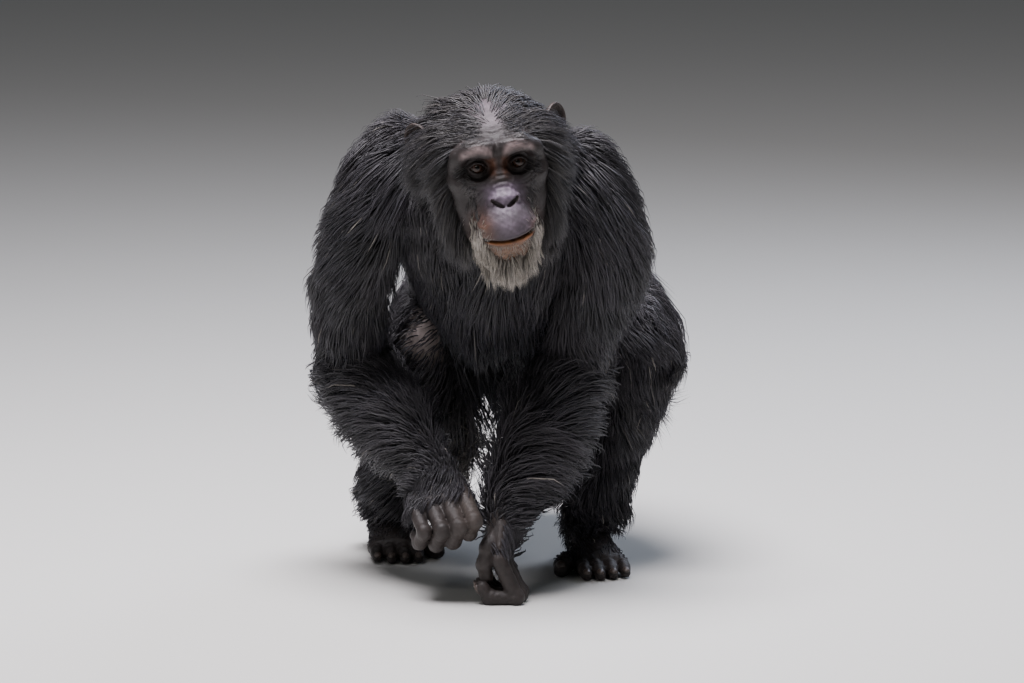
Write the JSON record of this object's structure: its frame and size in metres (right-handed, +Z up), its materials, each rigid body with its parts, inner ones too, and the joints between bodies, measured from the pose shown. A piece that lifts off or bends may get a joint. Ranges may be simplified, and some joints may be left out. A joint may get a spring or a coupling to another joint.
{
  "type": "chimpanzee",
  "caption": "Life-size still model of an adult male chimpanzee walking on its knuckles, with the right hand lifted and the head turned forward.",
  "frame": {"origin": "on the floor under the middle of the animal's bounding box", "axes": "+Z up; the animal faces -Y and its left side is towards +X"},
  "size_m": [0.5226, 0.8974, 0.6963],
  "materials": {
    "coat": "long, coarse, near-black hair in locks, with a soft cool sheen",
    "skin": "dark grey-brown, creased, half-matt bare skin of the face, ears, hands and feet",
    "eye": "wet, dark brown eye"
  },
  "bodies": {
    "root": {"belly": "coat", "big_toe_left": "skin", "big_toe_right": "skin", "chest": "coat", "ear_left": "skin", "ear_right": "skin", "eye_left": "eye", "eye_right": "eye", "foot_left": "skin", "foot_right": "skin", "forearm_left": "coat", "forearm_right": "coat", "fourth_toe_left": "skin", "fourth_toe_right": "skin", "hand_left": "skin", "hand_right": "skin", "head": "coat", "index_finger_left": "skin", "index_finger_right": "skin", "little_finger_left": "skin", "little_finger_right": "skin", "little_toe_left": "skin", "little_toe_right": "skin", "middle_finger_left": "skin", "middle_finger_right": "skin", "neck": "coat", "ring_finger_left": "skin", "ring_finger_right": "skin", "rump": "coat", "second_toe_left": "skin", "second_toe_right": "skin", "shin_left": "coat", "shin_right": "coat", "thigh_left": "coat", "thigh_right": "coat", "third_toe_left": "skin", "third_toe_right": "skin", "thumb_left": "skin", "thumb_right": "skin", "upper_arm_left": "coat", "upper_arm_right": "coat"}
  },
  "joints": []
}
